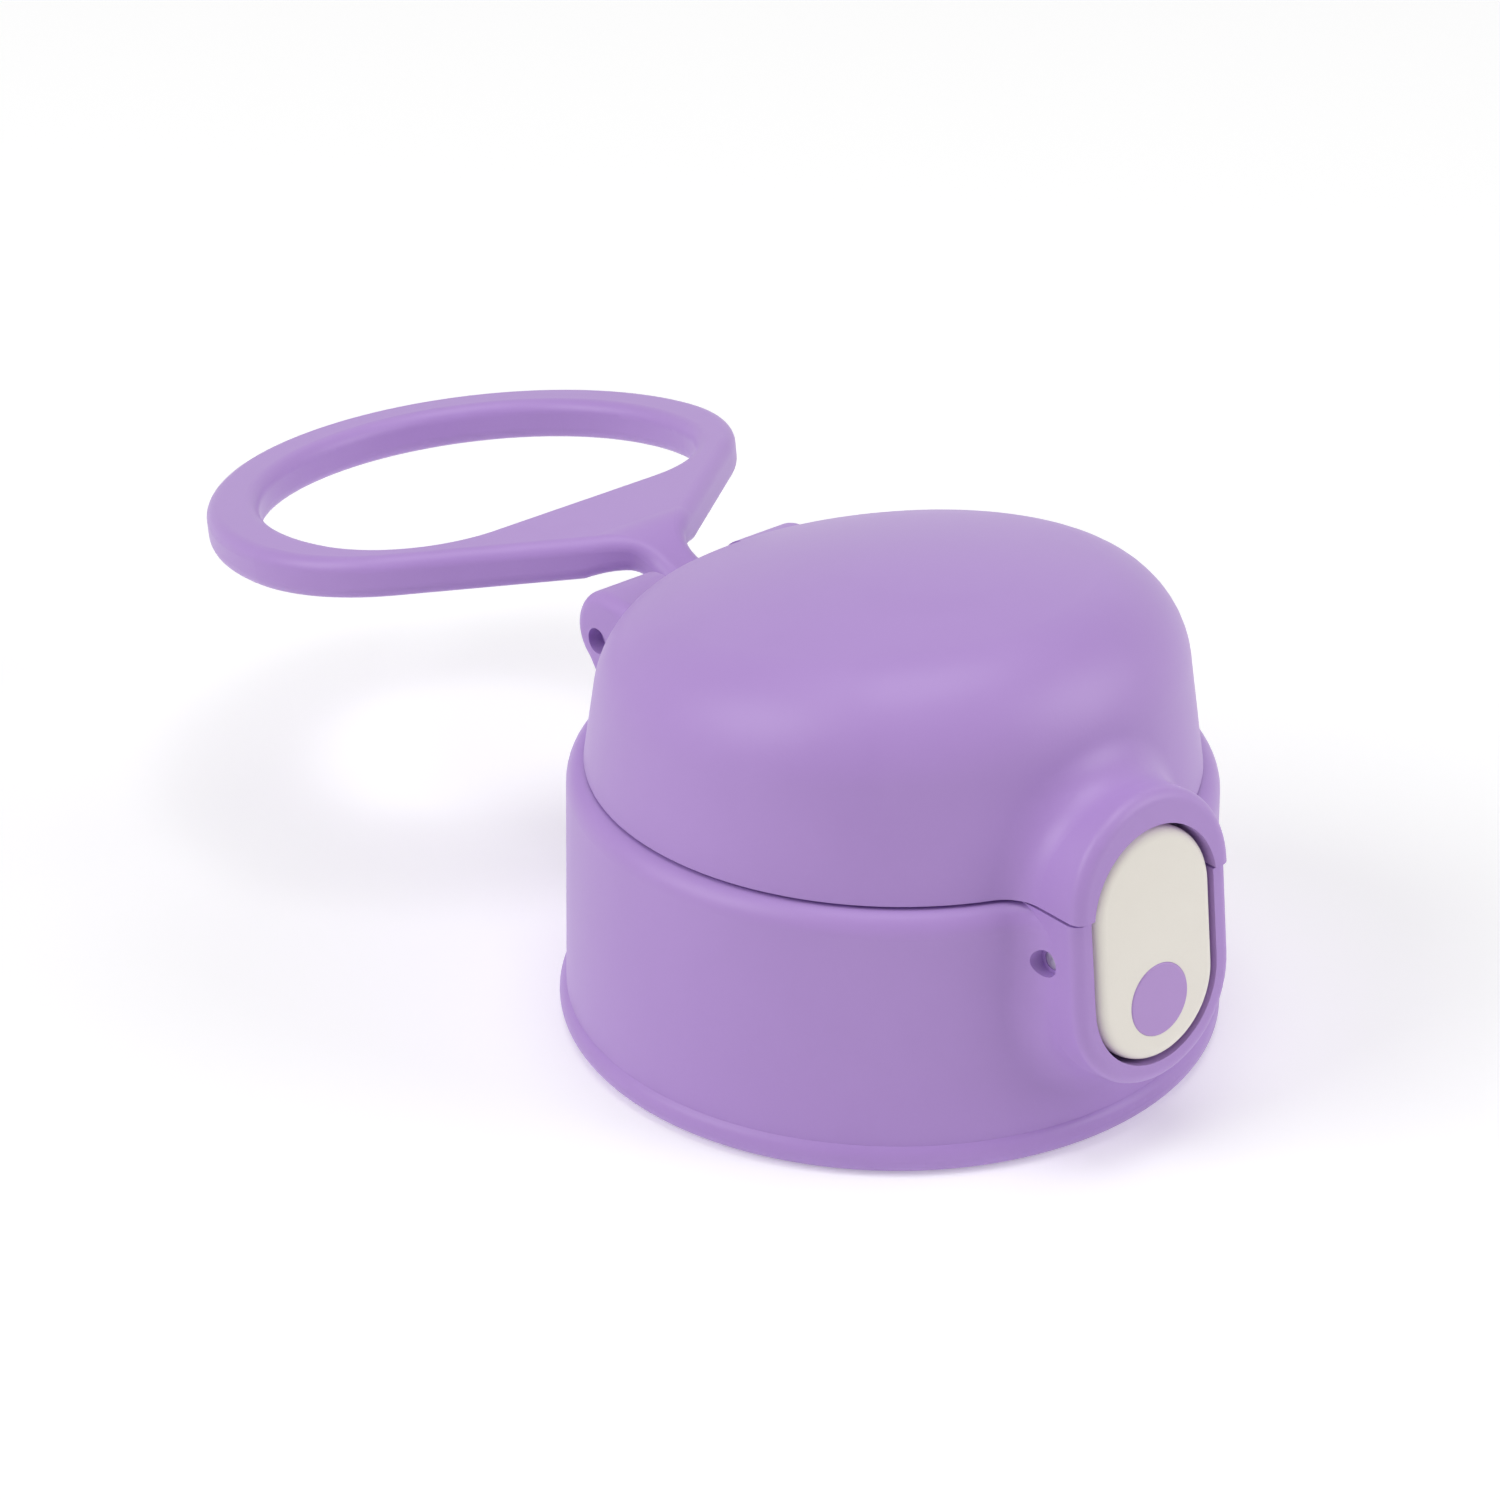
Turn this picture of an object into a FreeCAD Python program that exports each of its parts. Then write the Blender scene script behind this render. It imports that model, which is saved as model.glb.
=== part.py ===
import FreeCAD, Part
import math
import os

V = FreeCAD.Vector

# Flip lid cap for a drinking bottle, with a straw spout, a push button and a carry loop.
# Millimetres. Z is up, the origin is on the thread axis in the plane of the lower rim,
# the button faces minus Y and the hinge and carry loop are at plus Y.

# Neck thread and inner cap
thread_root_r = 25.5
thread_top_z = 21.5
skirt_wall = 2.1
skirt_gap = 1.6
skirt_outer_r = thread_root_r + skirt_wall
skirt_ribs = 12
rib_thick = 1.2
gasket_thick = 1.5
gasket_width = 4.4
gasket_outer_r = thread_root_r - 0.6
gasket_inner_r = gasket_outer_r - gasket_width
gasket_lip_r = gasket_inner_r - 1.9
deck_under_z = thread_top_z + gasket_thick
deck_top_z = deck_under_z + 3.6
deck_edge_gap = 0.2
straw_r = 4.0
straw_depth = 10.0
flow_r = 3.2
nozzle_r = 5.6
nozzle_top_z = deck_top_z + 6.6
vent_y = gasket_lip_r - 5.1
vent_r = 1.6
vent_head_r = 2.7
vent_flap_r = 3.4

# Collar
shell_wall = 2.8
shell_inner_r = skirt_outer_r + skirt_gap
collar_low_r = shell_inner_r + shell_wall
collar_high_r = collar_low_r - 0.4
collar_top_z = deck_top_z + 0.6
collar_shoulder_r = 2.3
foot_tube_r = 1.65
foot_outer_r = collar_low_r + 0.7
shell_top_thick = 2.0
shell_mouth_r = shell_inner_r - 3.3

# Mouthpiece and its stopper
mouth_flange_r = 9.2
mouth_flange_thick = 1.5
mouth_top_z = nozzle_top_z + 7.8
mouth_hole_r = 2.8
stopper_gap = 0.06
stopper_r = 7.0
stopper_nub = 1.1

# Lid
seam_gap = 0.3
lid_low_r = collar_high_r - 1.7
lid_draft = 0.146
crown_top_z = collar_top_z + 21.7
crown_r = 80.2
crown_centre = V(0, -10.3, crown_top_z - crown_r)
lid_shoulder_r = 10.5
lid_wall = 2.0
liner_wall = 1.3
liner_low_z = collar_top_z + 1.1
liner_rim_r = lid_low_r - lid_wall
liner_rim_thick = 1.4

# Hinge
hinge_y = collar_low_r - 3.0
hinge_z = collar_top_z + 5.5
hinge_pin_r = 1.0
hinge_pin_half = 11.9
running_gap = 0.05
ear_in_x = 5.6
ear_out_x = 13.4
ear_r = 4.35
ear_y = hinge_y - 0.7
ear_z = hinge_z + 0.8
ear_hole_r = 1.35
ear_recess = 1.6
knuckle_in_x = 2.9
knuckle_out_x = 5.3
knuckle_r = 2.9
well_r = 3.6
well_wall = 1.4
notch_top_deg = 123.0
notch_low_deg = -120.0
stem_notch_deg = 141.0
stem_notch_r = 8.5
housing_deg = 155.0
spring_coil_r = 1.95
spring_wire_r = 0.3
spring_turns = 4
spring_room_r = 2.9
spring_room_x = 9.3
housing_half = 10.6

# Push button
button_lean_deg = 6.65
button_half = 7.35
button_pin_y = -collar_low_r - 0.05
button_pin_z = collar_top_z - 5.1
button_pin_depth = 4.5
button_low = 11.8
button_high = 11.2
button_thick = 4.5
button_gap = 0.45
button_pin_r = 1.0
bezel = 2.0
bezel_set_back = 0.25
bezel_round = 1.2
hood_stand_out = 0.2
hood_rise = 1.3
pocket_depth = 6.25
boss_blend_r = 4.0
hood_blend_r = 4.0
dot_r = 3.6
dot_thick = 0.9
dot_drop = 5.8
spring_seat_r = 2.7
spring_seat_depth = 2.0
button_skin = 1.8
button_wall = 1.5
button_edge_r = 1.1
pin_lug_r = 1.55
button_pin_half = 8.9
pin_recess_r = 1.375
press_spring_r = 2.1
press_spring_wire_r = 0.25
press_spring_turns = 3
tooth_low = 6.7
tooth_high = 8.3
tooth_half = 3.0
tooth_tip = 5.3
ledge_tip = 5.65
ledge_low = 5.9
window_depth = 7.0

# Carry loop
loop_slope_deg = 8.08
loop_top_z = hinge_z + 6.8
loop_thick = 4.4
loop_outer_r = 29.3
loop_band = 5.6
loop_centre = loop_outer_r + 7.6
loop_flare_deg = 39.0
loop_flare_start = 6.4
loop_root_r = 3.0
loop_hole_r = loop_outer_r - loop_band
loop_hole_near = loop_hole_r - 8.3
loop_hole_corner_r = loop_hole_r - 10.7
loop_edge_r = 1.45
stem_half = 2.6
barrel_r = 3.3


def cyl(r, length, base, direction):
    return Part.makeCylinder(r, length, base, direction)


def x_cyl(r, x0, x1, y, z):
    return cyl(r, x1 - x0, V(x0, y, z), V(1, 0, 0))


def revolved(points):
    wire = Part.makePolygon([V(r, 0, z) for r, z in points + points[:1]])
    return Part.Face(wire).revolve(V(0, 0, 0), V(0, 0, 1), 360)


def x_prism(points, x0, x1):
    wire = Part.makePolygon([V(x0, y, z) for y, z in points + points[:1]])
    return Part.Face(wire).extrude(V(x1 - x0, 0, 0))


def ring(r_out, r_in, z0, z1):
    return revolved([(r_in, z0), (r_out, z0), (r_out, z1), (r_in, z1)])


def fillet_where(shape, radius, test):
    edges = [e for e in shape.Edges if test(e)]
    return shape.makeFillet(radius, edges)


def below(z):
    return Part.makeBox(200, 200, 100, V(-100, -100, z - 100))


def above(z):
    return Part.makeBox(200, 200, 100, V(-100, -100, z))


# Button frame: a is along the leaning face, d is the depth behind the face
lean = math.radians(button_lean_deg)
up_face = V(0, math.sin(lean), math.cos(lean))
out_face = V(0, -math.cos(lean), math.sin(lean))
pin_point = V(0, button_pin_y, button_pin_z)


def on_face(x, a, depth):
    base = pin_point + out_face * (button_pin_depth - depth)
    return base + up_face * a + V(x, 0, 0)


def stadium(r, depth0, depth1, longer_low=0.0, longer_high=0.0):
    """Upright slot shape with its ends on the button's own end centres, or further out."""
    low = -button_low + button_half - longer_low
    high = button_high - button_half + longer_high
    c0 = on_face(0, low, depth0)
    c1 = on_face(0, high, depth0)
    a = on_face(-r, low, depth0)
    b = on_face(-r, high, depth0)
    c = on_face(r, high, depth0)
    d = on_face(r, low, depth0)
    top = Part.Arc(b, c1 + up_face * r, c).toShape()
    bottom = Part.Arc(d, c0 - up_face * r, a).toShape()
    wire = Part.Wire([Part.makeLine(a, b), top, Part.makeLine(c, d), bottom])
    return Part.Face(wire).extrude(out_face * (depth0 - depth1))


boss_half = button_half + button_gap + bezel
boss_root_depth = 16.0


def boss_prism(front, longer_low=0.0, longer_high=0.0):
    return stadium(boss_half, front, boss_root_depth, longer_low, longer_high)


def lid_form(off):
    """Cone with a draft under a ball crown that tips towards the hinge."""
    low = 20.0
    high = 60.0
    r0 = lid_low_r - lid_draft * (low - collar_top_z - seam_gap) - off
    r1 = lid_low_r - lid_draft * (high - collar_top_z - seam_gap) - off
    cone = Part.makeCone(r0, r1, high - low, V(0, 0, low))
    cone.rotate(V(0, 0, 0), V(0, 0, 1), 90)
    ball = Part.makeSphere(crown_r - off, crown_centre)
    ball.rotate(crown_centre, V(0, 1, 0), 90)
    form = cone.common(ball)

    def crown_edge(e):
        return e.BoundBox.ZMin > low + 10 and e.BoundBox.XLength > low

    return fillet_where(form, lid_shoulder_r - off, crown_edge)


def hinge_sector(deg0, deg1, r, x):
    """Wedge about the hinge axis, its angles counted from plus Y towards plus Z."""
    pts = [(hinge_y, hinge_z)]
    steps = 12
    for i in range(steps + 1):
        t = math.radians(deg0 + (deg1 - deg0) * i / steps)
        pts.append((hinge_y + r * math.cos(t), hinge_z + r * math.sin(t)))
    return x_prism(pts, -x, x)


def boss_root(e):
    """Edges where the boss or hood leaves the round wall."""
    b = e.BoundBox
    near = b.YMin > -collar_low_r - 0.3 and b.YMax < -collar_low_r + 4.5
    return near and b.ZLength > 3 and b.XMax < boss_half + 0.2 and b.XMin > -boss_half - 0.2


def on_plane(e, point, normal):
    return all(abs((v.Point - point).dot(normal)) < 0.01 for v in e.Vertexes)


def rim_at(depth):
    """Test for the edges of the boss or hood on its front, apart from the one on the seam."""
    return lambda e: on_plane(e, on_face(0, 0, depth), out_face) and e.BoundBox.ZLength > 0.05


def pocket():
    """Room for the button, open to the front, running from the collar up into the hood."""
    return stadium(button_half + button_gap, -3.0, pocket_depth)


def lid_outline():
    form = lid_form(0).fuse(boss_prism(-hood_stand_out, 12, hood_rise).common(above(20))).removeSplitter()
    form = fillet_where(form, hood_blend_r, boss_root)
    return form.cut(below(collar_top_z + seam_gap))


def collar_shell():
    """Collar wall, rolled foot, button boss and the two hinge knuckles."""
    foot_z = 2 * foot_tube_r - 0.3
    rate = (collar_low_r - collar_high_r) / (collar_top_z - foot_z)
    high = 33.0
    low = foot_z - 1.0
    wall = Part.makeCone(collar_low_r + rate, collar_low_r - rate * (high - foot_z), high - low,
                         V(0, 0, low))
    wall.rotate(V(0, 0, 0), V(0, 0, 1), 90)
    form = wall.fuse(boss_prism(bezel_set_back, 0, 10).common(below(high))).removeSplitter()
    form = fillet_where(form, boss_blend_r, boss_root).cut(above(collar_top_z))
    form = fillet_where(form, collar_shoulder_r, on_shoulder)
    boss = boss_prism(bezel_set_back, 0, 10).common(below(collar_top_z)).cut(ring(60, 0, -20, 5))
    form = form.fuse(boss).removeSplitter()
    form = fillet_where(form, bezel_round, rim_at(bezel_set_back))
    foot = Part.makeTorus(foot_outer_r - foot_tube_r, foot_tube_r, V(0, 0, foot_tube_r))
    foot = foot.fuse(ring(foot_outer_r - foot_tube_r, shell_inner_r - 1, 0, 2 * foot_tube_r))
    form = form.fuse(foot)
    form = form.fuse(knuckle(1)).fuse(knuckle(-1))
    form = form.cut(ring(shell_inner_r, 0, -5, collar_top_z - shell_top_thick))
    form = form.cut(ring(shell_mouth_r, 0, -5, collar_top_z + 1))
    form = form.cut(pocket())
    form = form.cut(x_cyl(button_pin_r, -20, 20, button_pin_y, button_pin_z))
    for side in (-1, 1):
        x0, x1 = sorted((side * button_pin_half, side * 20))
        form = form.cut(x_cyl(pin_recess_r, x0, x1, button_pin_y, button_pin_z))
    form = form.cut(x_cyl(hinge_pin_r, -20, 20, hinge_y, hinge_z))
    return form.cut(spring_hole(knuckle_in_x + 0.6, knuckle_out_x + 1, 0)).removeSplitter()


def on_shoulder(e):
    b = e.BoundBox
    across_boss = b.YMax < -collar_low_r - 2 and b.XLength > 15
    return b.ZMin > collar_top_z - 0.01 and b.YMin > -collar_low_r - 4 and not across_boss


def knuckle(side):
    """One arm that rises from the collar to an eye on the hinge axis."""
    x0, x1 = sorted((side * knuckle_in_x, side * knuckle_out_x))
    foot_z = collar_top_z - 1.5
    arm = x_prism([(hinge_y - 2.0, foot_z), (hinge_y + 1.3, foot_z),
                   (hinge_y + knuckle_r - 0.1, hinge_z - 1.0), (hinge_y - 1.4, hinge_z - 2.4)], x0, x1)
    return arm.fuse(x_cyl(knuckle_r, x0, x1, hinge_y, hinge_z))


def spring_hole(x0, x1, turn_deg):
    t = math.radians(turn_deg)
    y = hinge_y + spring_coil_r * math.cos(t)
    z = hinge_z + spring_coil_r * math.sin(t)
    return x_cyl(spring_wire_r + running_gap, x0, x1, y, z)


def inner_cap():
    """Threaded skirt, deck, gasket seat and the nozzle with the straw socket."""
    rim_z = collar_top_z - shell_top_thick
    top_r = shell_mouth_r - deck_edge_gap
    cap = revolved([
        (thread_root_r, 0), (skirt_outer_r, 0), (skirt_outer_r, deck_under_z - 1.0),
        (shell_inner_r, deck_under_z - 0.2), (shell_inner_r, rim_z), (top_r, rim_z), (top_r, deck_top_z),
        (nozzle_r, deck_top_z), (nozzle_r, nozzle_top_z - 0.8), (nozzle_r - 0.8, nozzle_top_z),
        (flow_r, nozzle_top_z), (flow_r, thread_top_z + straw_depth), (straw_r, thread_top_z + straw_depth),
        (straw_r, thread_top_z), (straw_r + 1.6, thread_top_z), (straw_r + 1.6, deck_under_z),
        (gasket_lip_r, deck_under_z), (gasket_lip_r, thread_top_z), (gasket_inner_r, thread_top_z),
        (gasket_inner_r, deck_under_z), (gasket_outer_r, deck_under_z), (gasket_outer_r, thread_top_z),
        (thread_root_r, thread_top_z)])
    for i in range(skirt_ribs):
        rib = Part.makeBox(shell_inner_r - 0.1 - skirt_outer_r + 0.3, rib_thick, deck_under_z - 4.0,
                           V(skirt_outer_r - 0.3, -rib_thick / 2, 3.0))
        rib.rotate(V(0, 0, 0), V(0, 0, 1), 360.0 * (i + 0.5) / skirt_ribs)
        cap = cap.fuse(rib)
    cap = cap.cut(cyl(vent_r, 20, V(0, vent_y, deck_under_z - 5), V(0, 0, 1)))
    return cap.removeSplitter()


def neck_gasket():
    gasket = ring(gasket_outer_r, gasket_inner_r, thread_top_z, deck_under_z)
    return fillet_where(gasket, 0.4, lambda e: e.Closed and e.BoundBox.ZMax < thread_top_z + 0.01)


def mouthpiece():
    """Soft spout that grips the nozzle, waisted, with a rounded drinking tip."""
    z0 = deck_top_z
    z1 = z0 + mouth_flange_thick
    outer = Part.BSplineCurve()
    outer.interpolate([V(7.0, 0, z1), V(6.4, 0, z1 + 2.2), V(6.9, 0, z1 + 6.0), V(7.3, 0, mouth_top_z - 3.2),
                       V(6.4, 0, mouth_top_z - 0.8), V(4.6, 0, mouth_top_z)])
    pts = [V(4.6, 0, mouth_top_z), V(mouth_hole_r + 0.5, 0, mouth_top_z),
           V(mouth_hole_r, 0, mouth_top_z - 0.6), V(mouth_hole_r, 0, nozzle_top_z + 0.1),
           V(nozzle_r, 0, nozzle_top_z + 0.1), V(nozzle_r, 0, z0), V(mouth_flange_r, 0, z0),
           V(mouth_flange_r, 0, z1), V(7.0, 0, z1)]
    edges = [outer.toShape()] + [Part.makeLine(a, b) for a, b in zip(pts, pts[1:])]
    body = Part.Face(Part.Wire(edges)).revolve(V(0, 0, 0), V(0, 0, 1), 360)
    return fillet_where(body, 0.5, lambda e: e.BoundBox.XLength > 2 * mouth_flange_r - 0.1
                        and e.BoundBox.ZMin > z1 - 0.01)


def vent_valve():
    z = deck_top_z
    low = deck_under_z
    valve = revolved([(0, low - 1.0), (vent_flap_r, low - 0.45), (vent_flap_r, low), (vent_r, low),
                      (vent_r, z), (vent_head_r, z), (vent_head_r - 0.3, z + 0.8), (0, z + 1.0)])
    valve.translate(V(0, vent_y, 0))
    return valve


def ear(side):
    """Rounded ear on the back of the lid that takes the end of the hinge pin."""
    x0, x1 = sorted((side * ear_in_x, side * ear_out_x))
    inner_y = hinge_y - 7.0
    low_z = hinge_z - 4.7
    round_part = x_cyl(ear_r, x0, x1, ear_y, ear_z)
    under = x_prism([(inner_y, low_z), (hinge_y + 0.4, low_z), (hinge_y + 3.1, hinge_z - 1.1),
                     (ear_y, ear_z + ear_r), (inner_y, ear_z + ear_r)], x0, x1)
    body = round_part.fuse(under).removeSplitter()

    def outer_edge(e):
        b = e.BoundBox
        return b.XLength < 0.01 and abs(b.XMin - side * ear_out_x) < 0.01 and b.YMax > inner_y + 0.1

    return fillet_where(body, 1.4, outer_edge)


def hinge_housing(grow=0.0):
    """Closed well in the lid round the knuckles and the loop barrel."""
    well = x_cyl(well_r + well_wall + grow, -ear_in_x - 1.6 - grow, ear_in_x + 1.6 + grow, hinge_y, hinge_z)
    half = housing_half + grow
    side = x_cyl(spring_room_r + well_wall + grow, -half, half, hinge_y, hinge_z)
    web = hinge_sector(notch_top_deg - 3, housing_deg + 3 * grow, stem_notch_r + 1.5 + grow,
                       ear_in_x + 1.6 + grow)
    brow = hinge_sector(notch_top_deg - 3, notch_top_deg + 12 + 3 * grow, 13.0 + grow, ear_in_x + 1.6 + grow)
    return well.fuse([side, web, brow])


def hinge_notch():
    gap = x_cyl(well_r, -ear_in_x, ear_in_x, hinge_y, hinge_z)
    gap = gap.fuse(hinge_sector(notch_low_deg, notch_top_deg, 30, ear_in_x))
    gap = gap.fuse(x_cyl(well_r + 0.55, -stem_half - 0.5, stem_half + 0.5, hinge_y, hinge_z))
    return gap.fuse(hinge_sector(0, stem_notch_deg, stem_notch_r, stem_half + 0.5))


def lid_dome():
    """Lid shell with the hood, the ears, the hinge well and the latch ledge."""
    outline = lid_outline()
    form = fillet_where(outline, bezel_round, rim_at(-hood_stand_out))
    form = form.fuse(ear(1)).fuse(ear(-1))
    hollow = lid_form(lid_wall)
    rim_z = liner_low_z + liner_rim_thick
    form = form.cut(hollow)
    form = form.cut(ring(liner_rim_r, 0, 10, rim_z))
    inside = hinge_housing().common(lid_form(0.5)).cut(below(collar_top_z + seam_gap + 0.4))
    form = form.fuse(inside)
    form = form.cut(hinge_notch())
    form = form.cut(stadium(button_half + button_gap, -3.0, pocket_depth, 12, 0))
    form = form.cut(latch_window())
    form = form.fuse(latch_ledge())
    form = form.cut(x_cyl(hinge_pin_r + running_gap, -20, 20, hinge_y, hinge_z))
    for side in (-1, 1):
        x0, x1 = sorted((side * (ear_out_x - ear_recess), side * 20))
        form = form.cut(x_cyl(ear_hole_r, x0, x1, hinge_y, hinge_z))
    form = form.cut(x_cyl(spring_room_r, ear_in_x - 1, spring_room_x, hinge_y, hinge_z))
    form = form.cut(spring_hole(spring_room_x - 1, spring_room_x + 1.0, 0))
    return form.removeSplitter()


def on_button_box(x_half, a0, a1, d0, d1):
    """Block in the button's own frame, from depth d0 to d1."""
    pts = [on_face(-x_half, a, d) for a, d in ((a0, d0), (a1, d0), (a1, d1), (a0, d1))]
    return Part.Face(Part.makePolygon(pts + pts[:1])).extrude(V(2 * x_half, 0, 0))


def latch_window():
    return on_button_box(tooth_half + 0.5, tooth_low - 0.2, tooth_high + 0.9, 2.0, window_depth)


def latch_ledge():
    return on_button_box(tooth_half + 0.5, ledge_low, tooth_low - 0.2, ledge_tip, pocket_depth + 0.3)


def lid_liner():
    """Inner cup of the lid, open below, cut back round the hinge well."""
    rim_z = liner_low_z + liner_rim_thick
    cup = lid_form(lid_wall).cut(lid_form(lid_wall + liner_wall)).cut(below(liner_low_z + 0.2))
    rim = ring(liner_rim_r, liner_rim_r - liner_wall - 0.6, liner_low_z, rim_z)
    cup = cup.fuse(rim)
    cup = cup.cut(hinge_housing(0.25))
    return cup.cut(hinge_sector(notch_low_deg - 8, notch_top_deg, 12, ear_in_x + 1.85)).removeSplitter()


def spout_stopper():
    """Soft pad under the liner's crown with a nub that enters the mouthpiece."""
    z = mouth_top_z + stopper_gap
    pad = cyl(stopper_r, 10, V(0, 0, z), V(0, 0, 1)).common(lid_form(lid_wall + liner_wall))
    nub = Part.makeCone(1.7, 2.4, stopper_nub, V(0, 0, z - stopper_nub))
    return pad.fuse(nub).removeSplitter()


def hinge_pin():
    pin = x_cyl(hinge_pin_r, -hinge_pin_half, hinge_pin_half, hinge_y, hinge_z)
    return fillet_where(pin, 0.25, lambda e: e.Closed)


def coil(radius, wire_r, height, turns):
    helix = Part.makeHelix(height / turns, height, radius)
    path = Part.Wire(helix.Edges)
    start = path.Edges[0]
    p = start.valueAt(start.FirstParameter)
    t = start.tangentAt(start.FirstParameter)
    circle = Part.Wire(Part.makeCircle(wire_r, p, t))
    return path.makePipeShell([circle], True, True)


def hinge_spring():
    """Torsion coil round the pin, its two ends bent along the pin into the knuckle and the ear."""
    x0 = ear_in_x + 0.15 + spring_wire_r
    x1 = spring_room_x - 0.15 - spring_wire_r
    spring = coil(spring_coil_r, spring_wire_r, x1 - x0, spring_turns)
    spring.rotate(V(0, 0, 0), V(0, 1, 0), 90)
    spring.rotate(V(0, 0, 0), V(1, 0, 0), 90)
    spring.translate(V(x0, hinge_y, hinge_z))
    p = V(0, hinge_y + spring_coil_r, hinge_z)
    legs = [cyl(spring_wire_r, x0 - knuckle_in_x - 1.0, V(knuckle_in_x + 1.0, p.y, p.z), V(1, 0, 0)),
            cyl(spring_wire_r, spring_room_x + 0.8 - x1, V(x1, p.y, p.z), V(1, 0, 0))]
    knees = [Part.makeSphere(spring_wire_r, V(x, p.y, p.z)) for x in (x0, x1)]
    return spring.fuse(legs + knees).removeSplitter()


def push_button():
    """Rocker button, hollow at the back, with pin lugs, a spring seat and the latch tooth."""
    skin = stadium(button_half, 0, button_thick)
    skin = fillet_where(skin, button_edge_r, on_button_front)
    hollow = stadium(button_half - button_wall, button_skin, button_thick + 1)
    seat_a = -dot_drop
    seat = cyl(spring_seat_r + 1.0, button_thick - 1.0, on_face(0, seat_a, button_thick), out_face)
    lug = x_cyl(pin_lug_r, -button_half + 0.4, button_half - 0.4, button_pin_y, button_pin_z)
    lug_web = on_button_box(button_half - 0.8, -pin_lug_r, pin_lug_r, 1.0, button_pin_depth)
    tooth = on_button_box(tooth_half, tooth_low, tooth_high, 1.0, tooth_tip)
    inside = stadium(button_half - 0.3, 0.9, tooth_tip)
    body = skin.cut(hollow).fuse([part.common(inside) for part in (seat, lug_web, tooth)]).fuse(lug)
    body = body.cut(cyl(spring_seat_r, spring_seat_depth, on_face(0, seat_a, button_thick), out_face))
    body = body.cut(cyl(dot_r, dot_thick + 1, on_face(0, -dot_drop, dot_thick), out_face))
    return body.cut(x_cyl(button_pin_r + running_gap, -20, 20, button_pin_y, button_pin_z)).removeSplitter()


def on_button_front(e):
    pts = [v.Point for v in e.Vertexes]
    return all(abs((p - on_face(0, 0, 0)).dot(out_face)) < 0.01 for p in pts)


def button_dot():
    dot = cyl(dot_r, dot_thick + 0.1, on_face(0, -dot_drop, dot_thick), out_face)
    return fillet_where(dot, 0.2, lambda e: e.Closed and on_plane(e, on_face(0, 0, -0.1), out_face))


def button_pin():
    pin = x_cyl(button_pin_r, -button_pin_half, button_pin_half, button_pin_y, button_pin_z)
    return fillet_where(pin, 0.2, lambda e: e.Closed)


def button_spring():
    depth0 = button_thick - spring_seat_depth
    height = pocket_depth - depth0 - 2 * press_spring_wire_r
    spring = coil(press_spring_r, press_spring_wire_r, height, press_spring_turns)
    spring.rotate(V(0, 0, 0), V(1, 0, 0), 90 - button_lean_deg)
    spring.translate(on_face(0, -dot_drop, pocket_depth - press_spring_wire_r))
    return spring


def loop_frame(shape):
    """Moves a shape from the loop's own plane to where the loop rests."""
    shape.rotate(V(0, 0, 0), V(1, 0, 0), -loop_slope_deg)
    shape.translate(V(0, hinge_y, loop_top_z))
    return shape


def arc(centre, r, deg0, deg1, z):
    """Arc in the loop's plane between two angles."""
    pts = []
    for d in (deg0, (deg0 + deg1) / 2.0, deg1):
        t = math.radians(d)
        pts.append(V(centre[0] + r * math.cos(t), centre[1] + r * math.sin(t), z))
    return Part.Arc(*pts).toShape()


def mirrored_face(right, z):
    """Face from the edges of its right half, which run from the stem end to the far end."""
    left = [e.mirror(V(0, 0, 0), V(1, 0, 0)) for e in right]
    edges = right + left
    ends = [v.Point for e in right for v in e.Vertexes]
    low = min(ends, key=lambda p: p.y)
    if low.x > 0.01:
        edges = edges + [Part.makeLine(low, V(-low.x, low.y, low.z))]
    return Part.Face(Part.Wire(Part.__sortEdges__(edges)))


def loop_plan():
    """Loop seen square on: stem, flared neck and round band."""
    t = math.radians(loop_flare_deg)
    c, s = math.cos(t), math.sin(t)
    reach = loop_centre - loop_flare_start
    corner_r = (reach * c - (loop_outer_r - stem_half) * s) / (1 - s)
    corner = (loop_outer_r - corner_r, loop_centre)
    root_y = loop_flare_start - loop_root_r * (1 - s) / c
    root = (stem_half + loop_root_r, root_y)
    z = -20
    p0 = V(stem_half, -12, z)
    p1 = V(stem_half, root_y, z)
    p2 = V(root[0] - loop_root_r * s, root[1] + loop_root_r * c, z)
    p3 = V(corner[0] + corner_r * s, corner[1] - corner_r * c, z)
    right = [Part.makeLine(p0, p1), arc(root, loop_root_r, 180, 90 + loop_flare_deg, z),
             Part.makeLine(p2, p3), arc(corner, corner_r, loop_flare_deg - 90, 0, z),
             arc((0, loop_centre), loop_outer_r, 0, 90, z)]
    return mirrored_face(right, z).extrude(V(0, 0, 40))


def loop_hole_prism():
    """Finger hole: a circle cut straight on the side of the stem."""
    z = -20
    r = loop_hole_r
    k = loop_hole_corner_r
    dy = loop_hole_near - k
    dx = math.sqrt((r - k) ** 2 - dy ** 2)
    corner = (dx, loop_centre - dy)
    turn = -math.degrees(math.atan2(dy, dx))
    a = V(0, loop_centre - loop_hole_near, z)
    b = V(dx, loop_centre - loop_hole_near, z)
    right = [Part.makeLine(a, b), arc(corner, k, -90, turn, z), arc((0, loop_centre), r, turn, 90, z)]
    return mirrored_face(right, z).extrude(V(0, 0, 40))


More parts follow.
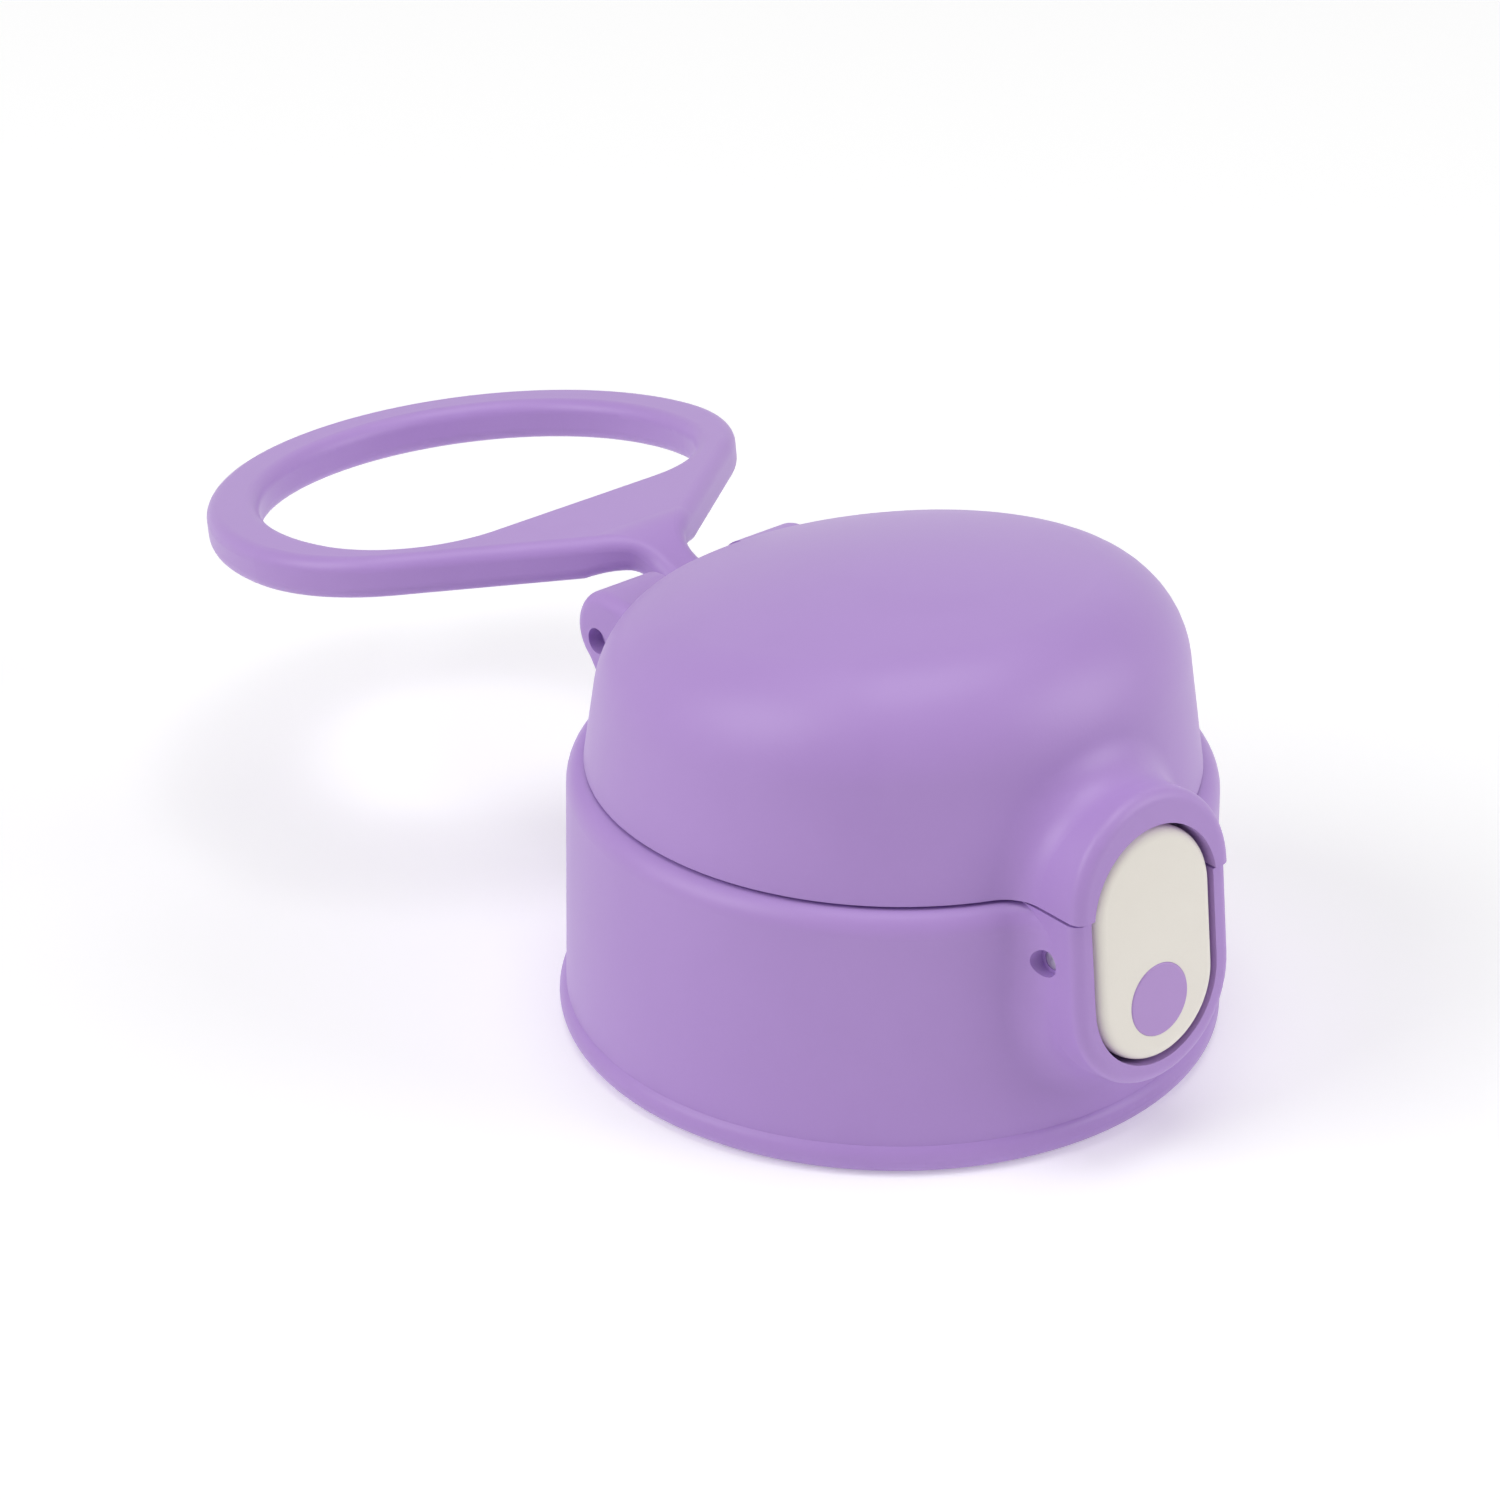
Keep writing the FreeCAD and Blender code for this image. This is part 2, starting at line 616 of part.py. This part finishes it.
def loop_side():
    """Loop seen from the side: barrel end, raised stem and the sloping flat band."""
    slope = math.tan(math.radians(loop_slope_deg))

    def top(y):
        return loop_top_z - slope * (y - hinge_y)

    drop = loop_thick / math.cos(math.radians(loop_slope_deg))
    y1 = hinge_y + 10.5
    y2 = hinge_y + 70.0
    over = Part.BSplineCurve()
    over.interpolate([V(0, hinge_y - 0.6, hinge_z + barrel_r - 0.1),
                      V(0, hinge_y + 3.3, hinge_z + barrel_r + 0.35),
                      V(0, hinge_y + 6.8, top(hinge_y + 6.8) - 0.75), V(0, y1, top(y1))],
                     FinalTangent=V(0, 1, -slope))
    under = Part.BSplineCurve()
    under.interpolate([V(0, y1, top(y1) - drop), V(0, hinge_y + 6.0, top(hinge_y + 6.0) - drop - 0.5),
                       V(0, hinge_y + 2.9, hinge_z - 1.9), V(0, hinge_y, hinge_z - barrel_r + 0.1)],
                      InitialTangent=V(0, -1, slope))
    a = V(0, hinge_y - 0.6, hinge_z + barrel_r - 0.1)
    b = V(0, hinge_y, hinge_z - barrel_r + 0.1)
    edges = [over.toShape(), Part.makeLine(V(0, y1, top(y1)), V(0, y2, top(y2))),
             Part.makeLine(V(0, y2, top(y2)), V(0, y2, top(y2) - drop)),
             Part.makeLine(V(0, y2, top(y2) - drop), V(0, y1, top(y1) - drop)),
             under.toShape(), Part.makeLine(b, a)]
    face = Part.Face(Part.Wire(edges))
    face.translate(V(-40, 0, 0))
    return face.extrude(V(80, 0, 0))


def carry_loop():
    band = loop_side().common(loop_frame(loop_plan())).cut(loop_frame(loop_hole_prism()))
    band = fillet_where(band, loop_edge_r, loop_long_edge)
    barrel = x_cyl(barrel_r, -stem_half, stem_half, hinge_y, hinge_z)
    return band.fuse(barrel).cut(x_cyl(hinge_pin_r + running_gap, -20, 20, hinge_y, hinge_z)).removeSplitter()


def loop_long_edge(e):
    b = e.BoundBox
    return b.YMax > hinge_y + 2.6 and b.YLength > 1.0 and e.Length > 2.0


parts = {
    "collar_shell": collar_shell,
    "inner_cap": inner_cap,
    "neck_gasket": neck_gasket,
    "mouthpiece": mouthpiece,
    "vent_valve": vent_valve,
    "lid_dome": lid_dome,
    "lid_liner": lid_liner,
    "spout_stopper": spout_stopper,
    "hinge_pin": hinge_pin,
    "hinge_spring": hinge_spring,
    "push_button": push_button,
    "button_dot": button_dot,
    "button_pin": button_pin,
    "button_spring": button_spring,
    "carry_loop": carry_loop,
}

if __name__ == "__main__":
    os.makedirs("parts", exist_ok=True)
    for name, make in parts.items():
        make().exportStep("parts/" + name + ".step")
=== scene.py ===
"""Looks of a flip lid drinking cap: lilac shell, cream button, silicone spout and steel pins."""
import bmesh
import bpy
import math
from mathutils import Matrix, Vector


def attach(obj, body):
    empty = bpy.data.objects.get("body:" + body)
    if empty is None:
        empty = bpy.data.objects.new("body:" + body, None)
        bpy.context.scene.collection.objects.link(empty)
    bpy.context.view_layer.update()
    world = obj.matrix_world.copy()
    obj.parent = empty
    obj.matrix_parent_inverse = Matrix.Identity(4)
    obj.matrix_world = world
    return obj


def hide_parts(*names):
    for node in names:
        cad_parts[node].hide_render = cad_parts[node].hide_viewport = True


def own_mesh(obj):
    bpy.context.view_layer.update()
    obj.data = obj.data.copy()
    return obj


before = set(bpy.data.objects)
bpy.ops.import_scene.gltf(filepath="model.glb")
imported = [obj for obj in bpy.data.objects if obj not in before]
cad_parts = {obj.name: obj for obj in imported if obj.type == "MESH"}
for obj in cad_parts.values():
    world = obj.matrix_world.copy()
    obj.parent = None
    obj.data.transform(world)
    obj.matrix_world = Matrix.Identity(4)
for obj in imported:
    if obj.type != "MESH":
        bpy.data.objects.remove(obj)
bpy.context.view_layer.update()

MM = 0.001

# The neck's bore in millimetres
NECK_R = 25.5

# One ridge of the neck thread. The root is how deep its foot is sunk into the wall.
RIDGE = {
    "Wall radius": NECK_R * MM,
    "Lead": 9.0 * MM,
    "Turns": 1.15,
    "Base width": 2.5 * MM,
    "Top width": 1.2 * MM,
    "Height": 1.05 * MM,
    "Root": 0.3 * MM,
    "First height": 4.6 * MM,
}
RIDGE_STARTS = 2
RIDGE_EDGE_R = 0.3 * MM
RIDGE_POINTS_PER_TURN = 96
RIDGE_TAPER = 0.055
RIDGE_TIP = 0.12
PROFILE_TURN = math.pi / 2

# Welding distance in metres, and the angle from which an edge counts as a crease
WELD = 1e-6
CREASE = math.radians(35.0)

# Where a cloud pattern starts and ends its change
CLOUD = (0.3, 0.7)

LAMPS = {
    "key": {"place": (-1.05, 0.4, 0.9), "size": 1.0, "watts": 8.6},
    "side": {"place": (0.8, -0.95, 0.7), "size": 0.9, "watts": 6.8},
    "top": {"place": (0.0, 0.0, 1.5), "size": 1.0, "watts": 7.5},
}
LAMP_TARGET = Vector((0.0, 0.01, 0.03))

WORLD_TO_LIGHT = 0.22
WORLD_TO_EYE = 1.0

FLOOR_HALF = 0.9
FLOOR_GREY = 0.88
FLOOR_GLOW = 0.25

CAMERA_PLACE = (-0.2589, -0.2861, 0.2332)
CAMERA_HEADING = (0.644, 0.765)
CAMERA_DOWN = math.radians(28.05)
CAMERA_SENSOR_MM = 36.0
CAMERA_LENS_MM = 108.5
CAMERA_CLIP = (0.01, 20.0)


# Node helpers

class Value:
    """A socket of a material or Geometry Nodes tree. Operators on it add the Math nodes."""

    def __init__(self, tree, socket):
        self.tree = tree
        self.socket = socket

    def calc(self, operation, other):
        return add(self.tree, "ShaderNodeMath", {"operation": operation}, [self, other])

    def __add__(self, other):
        return self.calc("ADD", other)

    def __sub__(self, other):
        return self.calc("SUBTRACT", other)

    def __mul__(self, other):
        return self.calc("MULTIPLY", other)

    def __truediv__(self, other):
        return self.calc("DIVIDE", other)

    def ramp(self, low, high, to_low=0.0, to_high=1.0):
        """Goes smoothly from to_low at low to to_high at high."""
        return add(self.tree, "ShaderNodeMapRange", {"interpolation_type": "SMOOTHSTEP"},
                   [self, low, high, to_low, to_high])


def add(tree, kind, settings, values, output=0):
    """Adds a node. Its values are numbers, colours or Values, by order or by socket name."""
    made = tree.nodes.new(kind)
    for key, value in settings.items():
        setattr(made, key, value)
    pairs = values.items() if isinstance(values, dict) else enumerate(values)
    for key, value in pairs:
        fill(tree, made.inputs[key], value)
    return Value(tree, made.outputs[output])


def fill(tree, socket, value):
    """Links a Value to a socket, or sets the socket to a number or colour."""
    if isinstance(value, Value):
        tree.links.new(value.socket, socket)
    else:
        socket.default_value = value


class Finish:
    """One procedural material and the nodes that vary it."""

    def __init__(self, name, roughness, **constants):
        self.material = bpy.data.materials.new(name)
        self.material.use_nodes = True
        self.tree = self.material.node_tree
        self.shader = self.tree.nodes["Principled BSDF"]
        self.shader.inputs["Roughness"].default_value = roughness
        for label, value in constants.items():
            self.shader.inputs[label.replace("_", " ")].default_value = value
        self.place = self.node("ShaderNodeTexCoord", {}, [], "Object")

    def node(self, kind, settings, values, output=0):
        return add(self.tree, kind, settings, values, output)

    def noise(self, size_mm, detail=2.0, stretch=(1.0, 1.0, 1.0)):
        """Soft noise whose features are about size_mm across, from 0 to 1."""
        where = self.node("ShaderNodeVectorMath", {"operation": "MULTIPLY"}, [self.place, stretch])
        values = {"Vector": where, "Scale": 1000.0 / size_mm, "Detail": detail}
        return self.node("ShaderNodeTexNoise", {}, values, "Fac")

    def mix(self, share, first, second):
        """Colour between first and second."""
        made = self.tree.nodes.new("ShaderNodeMix")
        made.data_type = "RGBA"
        fill(self.tree, made.inputs[0], share)
        fill(self.tree, made.inputs[6], first)
        fill(self.tree, made.inputs[7], second)
        return Value(self.tree, made.outputs[2])

    def feed(self, label, value):
        self.tree.links.new(value.socket, self.shader.inputs[label])

    def relief(self, height, depth_mm):
        """Surface relief from a height of 0 to 1, depth_mm deep."""
        values = {"Strength": 1.0, "Distance": depth_mm * MM, "Height": height}
        self.feed("Normal", self.node("ShaderNodeBump", {}, values))


def rgb(red, green, blue, painted_light_tint=(1.0, 1.0, 1.0)):
    return (red * painted_light_tint[0], green * painted_light_tint[1], blue * painted_light_tint[2], 1.0)


def grey(level):
    return rgb(level, level, level)


# Finishes

def lilac_moulding(name, painted_light_tint=(1.0, 1.0, 1.0)):
    """Satin polypropylene with a spark grain and a faint flow pattern. A tint other than white
    makes a lighter copy, painted light for a part that gets too little light.
    """
    light = rgb(0.424, 0.257, 0.622, painted_light_tint)
    lighter = rgb(0.444, 0.273, 0.644, painted_light_tint)
    streak = rgb(0.406, 0.243, 0.604, painted_light_tint)
    fleck = rgb(0.472, 0.300, 0.676, painted_light_tint)
    f = Finish(name, 0.5, Specular_IOR_Level=0.5, Sheen_Weight=0.10, Sheen_Roughness=0.45)
    cloud = f.noise(26.0, 3.0)
    flow = f.noise(9.0, 2.0, (1.0, 1.0, 0.35))
    speck = f.noise(0.32, 3.0)
    base = f.mix(cloud.ramp(*CLOUD), light, lighter)
    base = f.mix(flow.ramp(0.45, 0.75) * 0.25, base, streak)
    f.feed("Base Color", f.mix(speck.ramp(0.52, 0.80) * 0.16, base, fleck))
    f.feed("Roughness", cloud.ramp(*CLOUD, 0.38, 0.44) + speck * 0.06)
    f.relief(speck * 0.7 + f.noise(0.9) * 0.3, 0.012)
    return f.material


def cream_moulding():
    """Matt polypropylene of the button, with clouds and a fine grain."""
    cream = rgb(0.862, 0.818, 0.742)
    pale = rgb(0.884, 0.842, 0.768)
    fleck = rgb(0.820, 0.770, 0.690)
    f = Finish("cream_moulding", 0.45, Specular_IOR_Level=0.42)
    cloud = f.noise(14.0, 3.0)
    speck = f.noise(0.3, 3.0)
    base = f.mix(cloud.ramp(*CLOUD), cream, pale)
    f.feed("Base Color", f.mix(speck.ramp(0.5, 0.8) * 0.15, base, fleck))
    f.feed("Roughness", cloud.ramp(*CLOUD, 0.46, 0.52) + speck * 0.05)
    f.relief(speck, 0.008)
    return f.material


def natural_moulding():
    """Milky unpigmented polypropylene of the inner parts, smoother than the outside."""
    milk = rgb(0.800, 0.790, 0.765)
    pale = rgb(0.840, 0.832, 0.812)
    streak = rgb(0.785, 0.774, 0.748)
    f = Finish("natural_moulding", 0.35, Specular_IOR_Level=0.45)
    cloud = f.noise(12.0, 3.0)
    flow = f.noise(4.0, 3.0, (1.0, 1.0, 0.3))
    base = f.mix(cloud.ramp(*CLOUD), milk, pale)
    f.feed("Base Color", f.mix(flow.ramp(0.4, 0.9) * 0.2, base, streak))
    f.feed("Roughness", flow.ramp(0.2, 0.8, 0.30, 0.36))
    f.relief(f.noise(0.8), 0.004)
    return f.material


def silicone():
    """White silicone of the seals and the spout, with a trace of dust."""
    white = rgb(0.770, 0.775, 0.775)
    pale = rgb(0.815, 0.818, 0.815)
    dusty = rgb(0.860, 0.860, 0.858)
    f = Finish("silicone", 0.4, Specular_IOR_Level=0.38)
    cloud = f.noise(6.0, 3.0)
    dust = f.noise(0.5, 3.0)
    base = f.mix(cloud.ramp(*CLOUD), white, pale)
    f.feed("Base Color", f.mix(dust.ramp(0.62, 0.8) * 0.3, base, dusty))
    f.feed("Roughness", dust.ramp(*CLOUD, 0.36, 0.50))
    f.relief(dust, 0.006)
    return f.material


def drawn_steel():
    """Drawn steel: fine lines along X, which is the way of the pins, and duller spots."""
    bright = rgb(0.74, 0.74, 0.75)
    dull = rgb(0.60, 0.60, 0.62)
    f = Finish("drawn_steel", 0.3, Metallic=1.0)
    lines = f.noise(0.25, 3.0, (0.08, 1.0, 1.0))
    spots = f.noise(0.5)
    f.feed("Base Color", f.mix(spots.ramp(0.4, 0.8), bright, dull))
    f.feed("Roughness", lines.ramp(*CLOUD, 0.28, 0.46))
    f.relief(lines, 0.010)
    return f.material


def dress(material, *nodes):
    """Gives CAD nodes a finish."""
    for name in nodes:
        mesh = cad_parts[name].data
        mesh.materials.clear()
        mesh.materials.append(material)


# Objects

def put(name, data):
    """New object in the scene, at the origin and unturned."""
    made = bpy.data.objects.new(name, data)
    bpy.context.scene.collection.objects.link(made)
    return made


def aim(made, place, ahead):
    """Puts a lamp or camera in its place and points it ahead."""
    made.location = place
    made.rotation_mode = "QUATERNION"
    made.rotation_quaternion = ahead.to_track_quat("-Z", "Y")


def smooth_shade(mesh):
    """Welds a skin, turns its normals outward and keeps its creases sharp."""
    work = bmesh.new()
    work.from_mesh(mesh)
    bmesh.ops.remove_doubles(work, verts=work.verts, dist=WELD)
    bmesh.ops.recalc_face_normals(work, faces=work.faces)
    for edge in work.edges:
        edge.smooth = edge.calc_face_angle(0.0) < CREASE
    for face in work.faces:
        face.smooth = True
    work.to_mesh(mesh)
    work.free()


# Neck thread

def thread_tree():
    """Geometry Nodes: tapered ridges wound up a round wall, one for each start."""
    tree = bpy.data.node_groups.new("thread_ridges", "GeometryNodeTree")
    face = tree.interface
    face.new_socket("Geometry", in_out="OUTPUT", socket_type="NodeSocketGeometry")
    for name in RIDGE:
        face.new_socket(name, in_out="INPUT", socket_type="NodeSocketFloat")
    face.new_socket("Starts", in_out="INPUT", socket_type="NodeSocketInt")
    face.new_socket("Finish", in_out="INPUT", socket_type="NodeSocketMaterial")
    entry = tree.nodes.new("NodeGroupInput")
    value = {socket.name: Value(tree, socket) for socket in entry.outputs if socket.name}
    height = value["Height"]
    root = value["Root"]
    centre = value["Wall radius"] + (root - height) * 0.5

    def node(kind, settings=None, output=0, **values):
        """A node of this tree. Its values are named by socket, with _ for a blank."""
        named = {label.replace("_", " "): given for label, given in values.items()}
        return add(tree, kind, settings or {}, named, output)

    path = node("GeometryNodeCurveSpiral", Resolution=RIDGE_POINTS_PER_TURN,
                Rotations=value["Turns"], Start_Radius=centre, End_Radius=centre,
                Height=value["Lead"] * value["Turns"], Reverse=True)
    path = node("GeometryNodeSetCurveNormal", {"mode": "Z_UP"}, Curve=path)
    along = node("GeometryNodeSplineParameter", output="Factor")
    ends = (along.ramp(0.0, RIDGE_TAPER, RIDGE_TIP, 1.0)
            * along.ramp(1.0 - RIDGE_TAPER, 1.0, 1.0, RIDGE_TIP))
    path = node("GeometryNodeSetCurveRadius", Curve=path, Radius=ends)
    form = node("GeometryNodeCurvePrimitiveQuadrilateral", {"mode": "TRAPEZOID"},
                Bottom_Width=value["Base width"], Top_Width=value["Top width"],
                Height=height + root, Offset=0.0)
    form = node("GeometryNodeFilletCurve", {"mode": "POLY"},
                Curve=form, Count=3, Radius=RIDGE_EDGE_R)
    form = node("GeometryNodeTransform", Geometry=form, Rotation=(0.0, 0.0, PROFILE_TURN))
    ridge = node("GeometryNodeCurveToMesh", Curve=path, Profile_Curve=form, Fill_Caps=True)
    lift = node("ShaderNodeCombineXYZ", Z=value["First height"])
    ridge = node("GeometryNodeTransform", Geometry=ridge, Translation=lift)
    starts = node("GeometryNodeMeshLine", Count=value["Starts"], Offset=(0.0, 0.0, 0.0))
    number = node("GeometryNodeInputIndex")
    turn = node("ShaderNodeCombineXYZ", Z=number * math.tau / value["Starts"])
    mesh = node("GeometryNodeInstanceOnPoints", Points=starts, Instance=ridge, Rotation=turn)
    mesh = node("GeometryNodeRealizeInstances", Geometry=mesh)
    mesh = node("GeometryNodeSetMaterial", Geometry=mesh, Material=value["Finish"])
    leave = tree.nodes.new("NodeGroupOutput")
    tree.links.new(mesh.socket, leave.inputs[0])
    return tree


def grown(name, tree, values):
    """Runs a Geometry Nodes tree and keeps its result as a plain mesh."""
    seed = put(name + "_seed", bpy.data.meshes.new(name + "_seed"))
    modifier = seed.modifiers.new("grow", "NODES")
    modifier.node_group = tree
    for item in tree.interface.items_tree:
        if item.in_out == "INPUT" and item.name in values:
            modifier[item.identifier] = values[item.name]
    seed.update_tag()
    graph = bpy.context.evaluated_depsgraph_get()
    mesh = bpy.data.meshes.new_from_object(seed.evaluated_get(graph), depsgraph=graph)
    bpy.data.objects.remove(seed)
    mesh.name = name
    smooth_shade(mesh)
    return put(name, mesh)


def neck_thread(material):
    """Thread with two starts in the skirt that the bottle's neck screws into."""
    values = {**RIDGE, "Starts": RIDGE_STARTS, "Finish": material}
    ridges = grown("thread_ridges", thread_tree(), values)
    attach(ridges, "base")


# Press spring

def press_spring():
    """The spring behind the button as a smooth-shaded piece of its own on the base, in place of the
    CAD spring.
    """
    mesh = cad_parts["button_spring"].data.copy()
    mesh.name = "press_spring"
    smooth_shade(mesh)
    spring = put("press_spring", mesh)
    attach(spring, "base")
    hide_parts("button_spring")
    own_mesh(spring)


# Light, floor and camera

def area_lamp(name, place, size, watts):
    data = bpy.data.lights.new(name, "AREA")
    data.shape = "DISK"
    data.size = size
    data.energy = watts
    aim(put(name, data), place, LAMP_TARGET - Vector(place))


def white_backdrop():
    """World that shows white to the eye and in reflections and lights the object with soft grey."""
    world = bpy.data.worlds.new("studio")
    world.use_nodes = True
    tree = world.node_tree
    shader = tree.nodes["Background"]
    path = tree.nodes.new("ShaderNodeLightPath")
    seen = Value(tree, path.outputs["Is Camera Ray"])
    seen = seen.calc("MAXIMUM", Value(tree, path.outputs["Is Glossy Ray"]))
    seen = seen.calc("MAXIMUM", Value(tree, path.outputs["Is Transmission Ray"]))
    level = add(tree, "ShaderNodeMapRange", {}, [seen, 0.0, 1.0, WORLD_TO_LIGHT, WORLD_TO_EYE])
    tree.links.new(level.socket, shader.inputs["Strength"])
    shader.inputs["Color"].default_value = grey(1.0)
    bpy.context.scene.world = world


def floor():
    corners = [(x * FLOOR_HALF, y * FLOOR_HALF, 0) for x, y in ((-1, -1), (1, -1), (1, 1), (-1, 1))]
    mesh = bpy.data.meshes.new("floor")
    mesh.from_pydata(corners, [], [(0, 1, 2, 3)])
    made = put("floor", mesh)
    f = Finish("pale_floor", 0.9, Specular_IOR_Level=0.0)
    f.shader.inputs["Base Color"].default_value = grey(FLOOR_GREY)
    f.shader.inputs["Emission Color"].default_value = grey(1.0)
    f.shader.inputs["Emission Strength"].default_value = FLOOR_GLOW
    mesh.materials.append(f.material)


def camera():
    data = bpy.data.cameras.new("camera")
    data.sensor_width = CAMERA_SENSOR_MM
    data.lens = CAMERA_LENS_MM
    data.clip_start, data.clip_end = CAMERA_CLIP
    level = math.cos(CAMERA_DOWN)
    ahead = Vector((CAMERA_HEADING[0] * level, CAMERA_HEADING[1] * level, -math.sin(CAMERA_DOWN)))
    made = put("camera", data)
    aim(made, CAMERA_PLACE, ahead)
    bpy.context.scene.camera = made


# The cap

bpy.context.scene.view_settings.view_transform = "Standard"
lilac = lilac_moulding("lilac_moulding")
cream = cream_moulding()
natural = natural_moulding()
rubber = silicone()
steel = drawn_steel()

dress(lilac, "collar_shell", "lid_dome", "carry_loop")
# The button dot takes the lilac moulding made lighter by a tint: painted light on a face that gets
# too little light, not a colour of its own
dress(lilac_moulding("lilac_painted_lighter", (1.08, 1.10, 1.02)), "button_dot")
dress(cream, "push_button")
dress(natural, "inner_cap", "lid_liner")
dress(rubber, "mouthpiece", "neck_gasket", "vent_valve", "spout_stopper")
dress(steel, "hinge_pin", "button_pin", "hinge_spring", "button_spring")

neck_thread(natural)
press_spring()

camera()
white_backdrop()
floor()
for name, lamp in LAMPS.items():
    area_lamp(name, **lamp)
